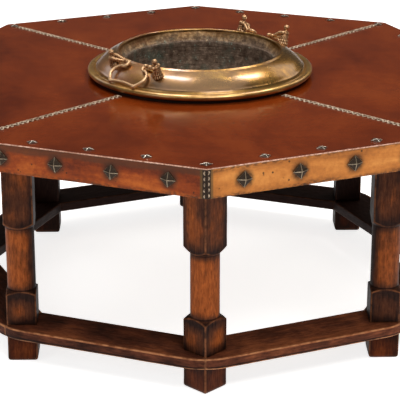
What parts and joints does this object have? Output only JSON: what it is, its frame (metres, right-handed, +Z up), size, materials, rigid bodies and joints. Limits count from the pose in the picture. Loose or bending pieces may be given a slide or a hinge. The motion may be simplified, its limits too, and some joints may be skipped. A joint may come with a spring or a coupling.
{
  "type": "brazier table",
  "caption": "Low octagonal table with a leather-covered top, turned legs on a stretcher ring, and a lift-out brass brazier with swinging loop handles in its centre.",
  "frame": {"origin": "on the floor, under the middle of the table", "axes": "+Z up; -Y points to the front corner of the top; +X to the right corner seen from the front"},
  "size_m": [1.3236, 1.3236, 0.593],
  "materials": {
    "leg_wood": "dark red-brown stain, worn lighter on the shafts and edges",
    "foot_wood": "dark red-brown stain",
    "stretcher_wood": "dark red-brown stain, worn lighter on the edges",
    "apron_wood": "plain sawn",
    "board_wood": "plain sawn",
    "dowel_wood": "plain",
    "ring_wood": "dark stain",
    "top_leather": "polished red-brown, mottled",
    "side_leather": "tan, worn",
    "lacing": "pale thong",
    "top_nail_metal": "dull grey, facets dark",
    "side_nail_metal": "dark, with bright ridges",
    "brazier_brass": "satin, dark patina inside the bowl",
    "handle_metal": "reddish, dull"
  },
  "bodies": {
    "table": {"leg_front": "leg_wood", "leg_front_right": "leg_wood", "leg_right": "leg_wood", "leg_back_right": "leg_wood", "leg_back": "leg_wood", "leg_back_left": "leg_wood", "leg_left": "leg_wood", "leg_front_left": "leg_wood", "foot_front": "foot_wood", "foot_front_right": "foot_wood", "foot_right": "foot_wood", "foot_back_right": "foot_wood", "foot_back": "foot_wood", "foot_back_left": "foot_wood", "foot_left": "foot_wood", "foot_front_left": "foot_wood", "stretcher_1": "stretcher_wood", "stretcher_2": "stretcher_wood", "stretcher_3": "stretcher_wood", "stretcher_4": "stretcher_wood", "stretcher_5": "stretcher_wood", "stretcher_6": "stretcher_wood", "stretcher_7": "stretcher_wood", "stretcher_8": "stretcher_wood", "apron_1": "apron_wood", "apron_2": "apron_wood", "apron_3": "apron_wood", "apron_4": "apron_wood", "apron_5": "apron_wood", "apron_6": "apron_wood", "apron_7": "apron_wood", "apron_8": "apron_wood", "side_leather_1": "side_leather", "side_leather_2": "side_leather", "side_leather_3": "side_leather", "side_leather_4": "side_leather", "side_leather_5": "side_leather", "side_leather_6": "side_leather", "side_leather_7": "side_leather", "side_leather_8": "side_leather", "top_leather_front": "top_leather", "top_leather_right": "top_leather", "top_leather_back": "top_leather", "top_leather_left": "top_leather", "top_board": "board_wood", "corner_blocks": "apron_wood", "dowels": "dowel_wood", "top_nails": "top_nail_metal", "side_nails": "side_nail_metal", "seam_lacing": "lacing", "corner_lacing": "lacing", "seat_ring": "ring_wood"},
    "brazier": {"brazier_basin": "brazier_brass", "figure_rivets": "brazier_brass", "figure_left_rear": "handle_metal", "figure_left_front": "handle_metal", "figure_right_front": "handle_metal", "figure_right_rear": "handle_metal"},
    "left_handle": {"handle_left": "handle_metal"},
    "right_handle": {"handle_right": "handle_metal"}
  },
  "joints": [
    {"name": "brazier_lift", "type": "slide", "parent": "table", "child": "brazier", "axis": [0, 0, 1], "range_m": [0, 0.2]},
    {"name": "left_handle_swing", "type": "hinge", "parent": "brazier", "child": "left_handle", "pos_m": [-0.13576, -0.13576, 0.5655], "axis": [-0.7071, 0.7071, 0], "range_deg": [0, 205]},
    {"name": "right_handle_swing", "type": "hinge", "parent": "brazier", "child": "right_handle", "pos_m": [0.14042, 0.13094, 0.5655], "axis": [0.682, -0.7314, 0], "range_deg": [0, 205]}
  ]
}
